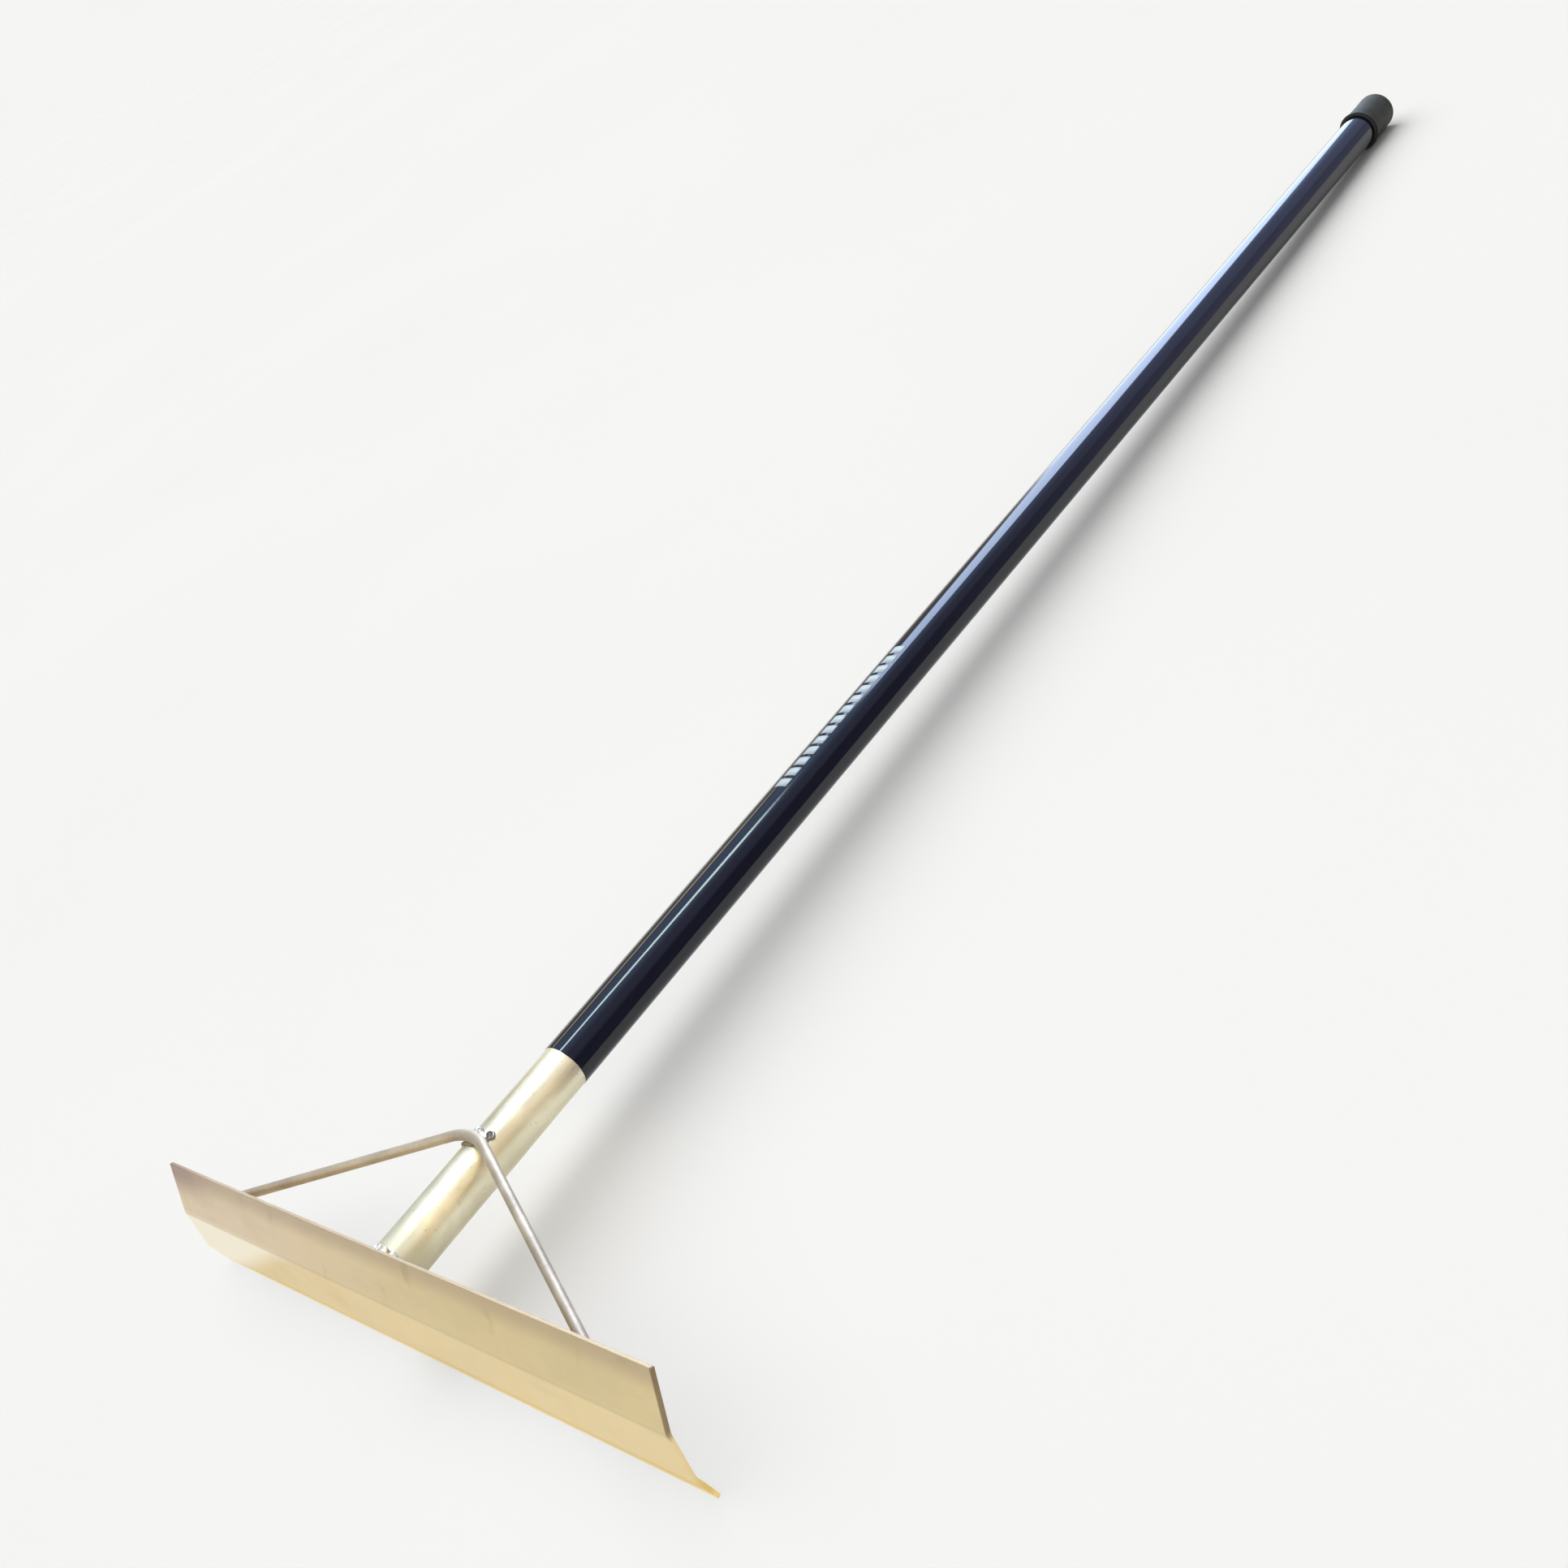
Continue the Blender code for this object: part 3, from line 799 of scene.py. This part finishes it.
def make_brace(material):
    """The bar: round, a little flattened in its bend, mitred to the blade's back at both ends."""
    _, rise, _, _ = brace_frame()
    out_of_plane = Vector((0.0, -rise.y, rise.x))
    points = [brace_point(spot.x, spot.y) for spot in brace_line()]
    sides = 28
    last = len(points) - 1
    rows = []
    for index, point in enumerate(points):
        along = (points[min(index + 1, last)] - points[max(index - 1, 0)]).normalized()
        beside = out_of_plane.cross(along).normalized()
        flattened = math.exp(-(point.x / 18.0) ** 2)
        wide = ROD_LOOK * (1 + 0.12 * flattened)
        tall = ROD_LOOK * (1 - 0.06 * flattened)
        row = []
        for side in range(sides):
            angle = 2 * math.pi * side / sides
            spot = point + beside * (wide * math.cos(angle)) + out_of_plane * (tall * math.sin(angle))
            if index in (0, last):
                spot = onto_back(spot, along if index else -along)
            row.append(tuple(spot))
        rows.append(row)
    verts, faces = closed(rows)
    return piece("brace_bar", verts, faces, material, ("brace_rod",))


def onto_back(spot, along):
    """Slide a point along a direction until it is just under the back of the upper flat."""
    angle = FLAT_ANGLES[0]
    normal = fold_normal(angle)
    out = Vector((0.0, normal.x, normal.y))
    top = fold_corners()[0]
    height = (spot - Vector((0.0, top.x, top.y))).dot(out) + SINK
    return spot - along * (height / along.dot(out))


# ---------------------------------------------------------------- welds

def weld_piece(name, node, verts, faces, material):
    """A weld's mesh object, in place of its CAD node."""
    return piece(name, verts, faces, material, (node,), WELD_SHARP)


def swell(degrees, part):
    """Height of the ring weld's lumps and pits at a place on it."""
    total = 0.0
    for lump_deg, lump_part, width, height in RING_LUMPS:
        off = (degrees - lump_deg) / width
        beside = (part - lump_part) / LUMP_PART
        total += height * math.exp(-off * off - beside * beside)
    return total


def peak(degrees, height, centre, width):
    """A height at an angle round the tube, falling off over a width."""
    return height * math.exp(-((degrees - centre) / width) ** 2)


def ring_legs(angle, radial):
    """How far the ring weld reaches up the tube and out over the blade, at an angle."""
    degrees = math.degrees(angle)
    uneven_tube = 0.5 * lump(radial.x * 2.2, radial.z * 2.2, 0.0, 5)
    uneven_blade = 0.5 * lump(radial.x * 2.6, radial.z * 2.6, 4.0, 6)
    tube_leg = RING_LEG + peak(degrees, *RING_UP_TUBE) + uneven_tube
    blade_leg = RING_LEG + peak(degrees, *RING_OVER_BLADE) + uneven_blade
    # Over the tube's top the blade ends soon, so the weld ends just under its top edge.
    if radial.z > 0.5:
        blade_leg = min(blade_leg, (TOP_EDGE - 0.2) / radial.z - TUBE_RADIUS)
    return tube_leg, blade_leg


def ring_section(angle, across=16):
    """Points of the ring weld at an angle: a curve from tube to blade, and one deep in the joint."""
    radial = Vector((math.cos(angle), 0.0, math.sin(angle)))
    tube_leg, blade_leg = ring_legs(angle, radial)
    degrees = math.degrees(angle)
    bulge = 0.30 + peak(degrees, 0.30, 76, 30)
    start = back_y(TUBE_RADIUS * radial.z)
    reach = TUBE_RADIUS + blade_leg
    mid_reach = TUBE_RADIUS + blade_leg * bulge
    on_tube = radial * (TUBE_RADIUS - SINK) + Vector((0, start + tube_leg, 0))
    on_blade = radial * reach + Vector((0, back_y(reach * radial.z) - SINK, 0))
    control = radial * mid_reach + Vector((0, back_y(mid_reach * radial.z) + tube_leg * bulge, 0))
    out = (radial + Vector((0, 1, 0))).normalized()
    row = []
    for k in range(across):
        u = k / (across - 1)
        spot = on_tube * (1 - u) ** 2 + control * 2 * u * (1 - u) + on_blade * u ** 2
        ripple = RING_RIPPLE * math.sin(37 * angle + 10 * (u - 0.5) ** 2)
        uneven = RING_UNEVEN * lump(*(spot * 0.33), 7)
        row.append(tuple(spot + out * ((ripple + uneven) * math.sin(math.pi * u) + swell(degrees, u))))
    row.append(tuple(radial * (TUBE_RADIUS - RING_DEPTH) + Vector((0, start - RING_DEPTH, 0))))
    return row


def make_ring_weld(material):
    """Fillet weld round the tube, rippled, with heavy lumps near the blade's top edge."""
    steps = 360
    rows = [ring_section(2 * math.pi * step / steps) for step in range(steps)]
    # Backwards, so that its faces look outwards.
    verts, faces = skin(rows[::-1], wrap_rows=True)
    return weld_piece("weld_ring", "weld_tube_blade", verts, faces, material)


def bead(points, radius_at, sides=18, facing=Vector((0, 0, 1)), seed=0):
    """A lumpy closed bead along points; radius_at(t) gives its radius, 0 to 1 along its length."""
    rows = []
    last = len(points) - 1
    for index, point in enumerate(points):
        along = (points[min(index + 1, last)] - points[max(index - 1, 0)]).normalized()
        beside = facing.cross(along).normalized()
        up = along.cross(beside)
        radius = radius_at(index / last)
        row = []
        for side in range(sides):
            angle = 2 * math.pi * side / sides
            spot = point + (beside * math.cos(angle) + up * math.sin(angle)) * radius
            spot += (spot - point) * BEAD_UNEVEN * lump(*(spot * 0.45), seed)
            row.append(tuple(spot))
        rows.append(row)
    return closed(rows)


def rounded_end(t, radius, cap=0.14):
    """Radius of a bead rounded off like half an ellipse at each end; cap is an end's share of it."""
    near = min(t, 1 - t) / cap
    return radius * math.sqrt(max(0.02, 1 - (1 - min(1.0, near)) ** 2))


def saddle_line(start, end, offset, lift, count=40):
    """Line over the tube beside the brace's bend, from one X to another.

    The offset is measured from the bar's axis, in the plane of the V. Lift is the height over the
    tube.
    """
    _, _, crossing, _ = brace_frame()
    centre = crossing - BRACE_BEND_RADIUS
    reach = BRACE_BEND_RADIUS + offset
    ring = TUBE_RADIUS + lift
    points = []
    for step in range(count):
        x = start + (end - start) * step / (count - 1)
        spot = brace_point(x, centre + math.sqrt(reach * reach - x * x))
        points.append(Vector((x, spot.y, math.sqrt(ring * ring - x * x))))
    return points


def crater(centre, axis, seed):
    """A round blob with a raised rim round a pit, where the weld ended."""
    axis = axis.normalized()
    side = axis.orthogonal().normalized()
    third = axis.cross(side)
    rows = []
    for radius, height in CRATER:
        row = []
        for k in range(CRATER_SIDES):
            turn = 2 * math.pi * k / CRATER_SIDES
            way = side * math.cos(turn) + third * math.sin(turn)
            reach = radius * (1 + CRATER_UNEVEN[0] * lump(*(way * 1.3), seed))
            rise = height * (1 + CRATER_UNEVEN[1] * lump(*(way * 1.1), seed + 1))
            row.append(tuple(centre + way * reach + axis * rise))
        rows.append(row)
    return closed(rows)


def make_upper_weld(material, pit_metal):
    """A lumpy bead over the tube behind the bend, with a dark pit in its last blob."""

    def long_radius(t):
        return rounded_end(t, 2.1 + 0.2 * math.sin(30 * t))

    def fat_radius(t):
        return rounded_end(t, 2.9 + 0.2 * math.sin(17 * t), 0.4)

    long_run = bead(saddle_line(-9.0, 9.5, 4.4, 0.2), long_radius, seed=8)
    fat_run = bead(saddle_line(-4.6, 3.4, 6.4, 0.3, 26), fat_radius, seed=13)
    turn = math.radians(CRATER_DEGREES)
    out = Vector((math.cos(turn), 0.0, math.sin(turn)))
    blob = crater(out * TUBE_RADIUS + Vector((0, CRATER_PLACE, 0)), out + Vector((0, -0.10, 0)), 9)
    verts, faces = joined(long_run, fat_run, blob)
    weld = weld_piece("weld_saddle_upper", "weld_brace_upper", verts, faces, material)
    weld.data.materials.append(pit_metal)
    pit = len(long_run[1]) + len(fat_run[1]) + CRATER_PIT * CRATER_SIDES
    for face in weld.data.polygons[pit:]:
        face.material_index = 1
    return weld


def make_lower_weld(material):
    """A thin bead inside the bend, painted dark as the shade under the bend."""

    def radius(t):
        return rounded_end(t, 1.6 + 0.2 * math.sin(19 * t))

    verts, faces = bead(saddle_line(-8.0, 4.0, -3.3, 0.0), radius, seed=10)
    return weld_piece("weld_saddle_lower", "weld_brace_lower", verts, faces, material)


def foot_line(side, count=60):
    """U-shaped line on the blade's back round a foot of the brace; side is -1 or 1."""
    down, out = fold_direction(FLAT_ANGLES[0]), fold_normal(FLAT_ANGLES[0])
    _, rise, _, _ = brace_frame()
    leg = Vector((BRACE_HALF_SPAN, -rise.x * BRACE_RISE, -rise.y * BRACE_RISE)).normalized()
    along = Vector((leg.x, leg.y * down.x + leg.z * down.y)).normalized()
    beside = Vector((-along.y, along.x))
    foot = Vector((BRACE_HALF_SPAN, BRACE_FOOT_DEPTH))
    half = ROD_RADIUS + 0.9
    before, beyond = -4.0, 12.0
    leg_part = 0.35
    top = fold_corners()[0]
    points = []
    for step in range(count):
        t = step / (count - 1)
        if t < leg_part:
            spot = foot + along * (before + (beyond - before) * t / leg_part) - beside * half
        elif t > 1 - leg_part:
            spot = foot + along * (before + (beyond - before) * (1 - t) / leg_part) + beside * half
        else:
            turn = math.pi * (t - leg_part) / (1 - 2 * leg_part)
            spot = foot + along * beyond + (along * math.sin(turn) - beside * math.cos(turn)) * half
        place = top + down * spot.y + out * 0.5
        points.append(Vector((side * spot.x, place.x, place.y)))
    return points


def make_foot_weld(side, name, node, material):
    """Thin bead round a foot of the brace."""

    def radius(t):
        return rounded_end(t, 1.75 + 0.16 * math.sin(60 * t), 0.06)

    out = fold_normal(FLAT_ANGLES[0])
    verts, faces = bead(foot_line(side), radius, facing=Vector((0, out.x, out.y)), seed=11 + side)
    return weld_piece(name, node, verts, faces, material)


# ---------------------------------------------------------------- studio

def make_floor(material):
    """A wide flat floor, and far round it a pale wall that only the camera sees."""
    steps = 96
    ring = [(math.cos(2 * math.pi * k / steps), math.sin(2 * math.pi * k / steps)) for k in range(steps)]
    floor = [(FLOOR_RADIUS * x, FLOOR_RADIUS * y, 0.0) for x, y in ring]
    stage_piece("floor", floor, [tuple(range(steps))], material)
    # The wall starts under the floor, so that no gap shows between the two.
    profile = [(FLOOR_RADIUS - 1.0, -0.05)]
    for k in range(1, 31):
        reach = FLOOR_RADIUS + (WALL_RADIUS - FLOOR_RADIUS) * k / 30
        profile.append((reach, WALL_RISE * (reach - FLOOR_RADIUS) ** 2))
    verts, faces = skin([[(reach * x, reach * y, rise) for x, y in ring] for reach, rise in profile])
    wall = stage_piece("backdrop", verts, faces, wall_glow())
    wall.visible_glossy = False
    wall.visible_diffuse = False
    wall.visible_shadow = False


def stage_piece(name, verts, faces, material):
    """A mesh object of the studio, which is no part of the tool; its points are in metres."""
    mesh = bpy.data.meshes.new(name)
    mesh.from_pydata(verts, [], faces)
    mesh.shade_smooth()
    mesh.materials.append(material)
    item = bpy.data.objects.new(name, mesh)
    bpy.context.scene.collection.objects.link(item)
    return item


def room_walls(s, turn, spread, near):
    """Tones round the handle: ahead, towards the cap, and near, which is beside and behind it."""
    room = s.mix(s.span(turn, -35.0, -15.0), (0.60, 0.58, 0.62), (0.19, 0.18, 0.30))
    room = s.mix(s.span(turn, 5.0, 45.0), room, (0.42, 0.43, 0.68))
    room = s.mix(s.span(turn, 55.0, 84.0), room, (0.66, 0.95, 1.50))
    room = s.mix(s.span(turn, 112.0, 150.0), room, (0.42, 0.38, 0.32))
    room = s.mix(s.span(turn, 166.0, 184.0), room, (1.60, 1.62, 1.70))
    haze = s.math("MULTIPLY", s.span(spread, 52.0, 38.0), s.band(turn, -12.0, 96.0, 10.0))
    room = s.mix(haze, room, (0.58, 0.66, 1.12))
    wall = s.mix(s.span(turn, -10.0, 40.0), (0.66, 0.55, 0.34), (1.62, 1.36, 0.80))
    wall = s.mix(s.span(turn, 60.0, 84.0), wall, (1.50, 1.50, 1.38))
    wall = s.mix(s.span(turn, 108.0, 138.0), wall, (0.50, 0.60, 0.74))
    return s.mix(near, room, wall)


def with_window(s, room, turn, ahead, u, v):
    """The room with a window, between slanted sides and over a sill that is bent once."""
    glow = s.mix(s.span(turn, 92.0, 165.0), (6.2, 7.8, 11.4), (3.3, 3.9, 4.9))
    sill = s.math("MINIMUM", s.line(u, 1.25, 1.012), s.line(u, 2.6, 1.53))
    right_of = s.step_over(u, s.line(v, 0.229, -1.061), 0.03)
    left_of = s.step_over(s.line(v, 0.274, -0.324), u, 0.015)
    window = s.math("MULTIPLY", right_of, s.step_over(v, sill, 0.03))
    window = s.math("MULTIPLY", window, left_of)
    window = s.math("MULTIPLY", window, s.band(v, 0.0, 1.42, 0.03))
    window = s.math("MULTIPLY", window, s.span(ahead, 0.02, 0.05))
    return s.mix(window, room, glow)


def with_lamp(s, room, near, u, v):
    """The room with a slim lamp, bluer ahead than near."""
    off_line = s.math("SUBTRACT", u, s.line(v, -0.443, 0.875))
    lamp = s.math("MULTIPLY", s.band(off_line, -0.15, 0.15, 0.04), s.band(v, 1.74, 6.0, 0.10))
    tint = s.mix(near, (14.0, 17.5, 18.0), (11.5, 11.2, 9.8))
    return s.mix(lamp, room, tint)


def with_shelf(s, room, u, v):
    """The room with the pale edge of a shelf."""
    off_line = s.math("SUBTRACT", v, s.line(u, -0.772, -0.12))
    edge = s.math("MULTIPLY", s.band(off_line, -0.20, 0.20, 0.05), s.band(u, -2.4, -1.4, 0.08))
    return s.mix(edge, room, (3.2, 2.8, 2.2))


def reflected_room():
    """What glossy surfaces mirror: a dim room with a window, a slim lamp and a warm wall."""
    world = bpy.data.worlds.new("room")
    bpy.context.scene.world = world
    world.cycles_visibility.diffuse = False
    s = Shade("room", world)
    coords = s.node("TexCoord").outputs["Generated"]
    way = s.node("Mapping", {"vector_type": "VECTOR"}, Vector=coords, Rotation=(-TOOL_TILT, 0.0, 0.0))
    split = s.node("SeparateXYZ", Vector=way.outputs[0])
    x, y, z = split.outputs[0], split.outputs[1], split.outputs[2]
    # Turn round the handle from +X towards +Z, -120 to 240, and spread from its line, in degrees.
    degrees = 180 / math.pi
    turn = s.line(s.math("ARCTAN2", z, x), degrees, 120.0)
    turn = s.math("SUBTRACT", s.math("FLOORED_MODULO", turn, 360.0), 120.0)
    spread = s.math("MULTIPLY", s.math("ARCCOSINE", y), degrees)
    near = s.span(spread, 72.0, 78.0)
    # The same directions as points (u, v) of a plane that is square to the handle, ahead.
    ahead = s.math("MAXIMUM", y, 0.02)
    u = s.math("DIVIDE", x, ahead)
    v = s.math("DIVIDE", z, ahead)
    room = room_walls(s, turn, spread, near)
    room = with_window(s, room, turn, y, u, v)
    room = with_lamp(s, room, near, u, v)
    room = with_shelf(s, room, u, v)
    s.glowing(room)


def soft_light(name, strength, spread_deg, lean):
    """A very wide sun that lights matt surfaces only; lean is its turn about X and Y, in degrees."""
    sun = bpy.data.lights.new(name, "SUN")
    sun.energy = strength
    sun.angle = math.radians(spread_deg)
    item = bpy.data.objects.new(name, sun)
    bpy.context.scene.collection.objects.link(item)
    item.rotation_euler = (math.radians(lean[0]), math.radians(lean[1]), 0.0)
    item.visible_glossy = False


def make_side_card():
    """A dark glowing card beside the handle that only reflections see: a painted reflection of shade
    there.
    """
    start, end = CARD_ENDS
    corners = ((start, 0.0), (end, 0.0), (end, CARD_HEIGHT), (start, CARD_HEIGHT))
    verts = [(CARD_SIDE, y, z) for y, z in corners]
    card = stage_piece("side_card", verts, [(0, 1, 2, 3)], shade_reflection_card())
    card.visible_camera = False
    card.visible_diffuse = False
    card.visible_shadow = False
    card.visible_transmission = False


def make_studio():
    """The mirrored room, two soft lights, the side card and the floor."""
    reflected_room()
    soft_light("key", 2.2, 80.0, (3.0, -26.0))
    soft_light("fill", 1.30, 150.0, (0.0, 0.0))
    make_side_card()
    make_floor(floor_paint())


def make_camera():
    """The photo's camera."""
    scene = bpy.context.scene
    camera = bpy.data.objects.new("camera", bpy.data.cameras.new("camera"))
    scene.collection.objects.link(camera)
    camera.data.lens = CAMERA_LENS
    camera.data.sensor_width = 36.0
    camera.data.clip_start = 0.05
    camera.data.clip_end = 100.0
    back = -CAMERA_FORWARD.normalized()
    right = CAMERA_UP.cross(back).normalized()
    up = back.cross(right)
    turn = Matrix((right, up, back)).transposed().to_4x4()
    camera.matrix_world = TOOL @ Matrix.Translation(CAMERA_POSITION) @ turn
    scene.camera = camera


def main():
    """The studio, and every piece of the tool in its material."""
    bpy.context.scene.view_settings.view_transform = "Standard"
    make_studio()
    make_camera()
    weld = weld_bright()
    make_blade(blade_metal())
    make_tube(tube_metal())
    make_sleeve(sleeve_film())
    make_mark(mark_ink())
    make_cap(cap_vinyl())
    make_brace(bar_metal())
    make_ring_weld(weld)
    make_upper_weld(weld, dark_weld_metal("weld_pit", (0.16, 0.13, 0.14), (0.36, 0.32, 0.33)))
    # The lower weld is painted dark as the shade under the brace's bend.
    make_lower_weld(dark_weld_metal("weld_bend_shade", (0.16, 0.13, 0.08), (0.38, 0.33, 0.22)))
    make_foot_weld(-1, "weld_foot_left", "weld_brace_left", weld)
    make_foot_weld(1, "weld_foot_right", "weld_brace_right", weld)


main()
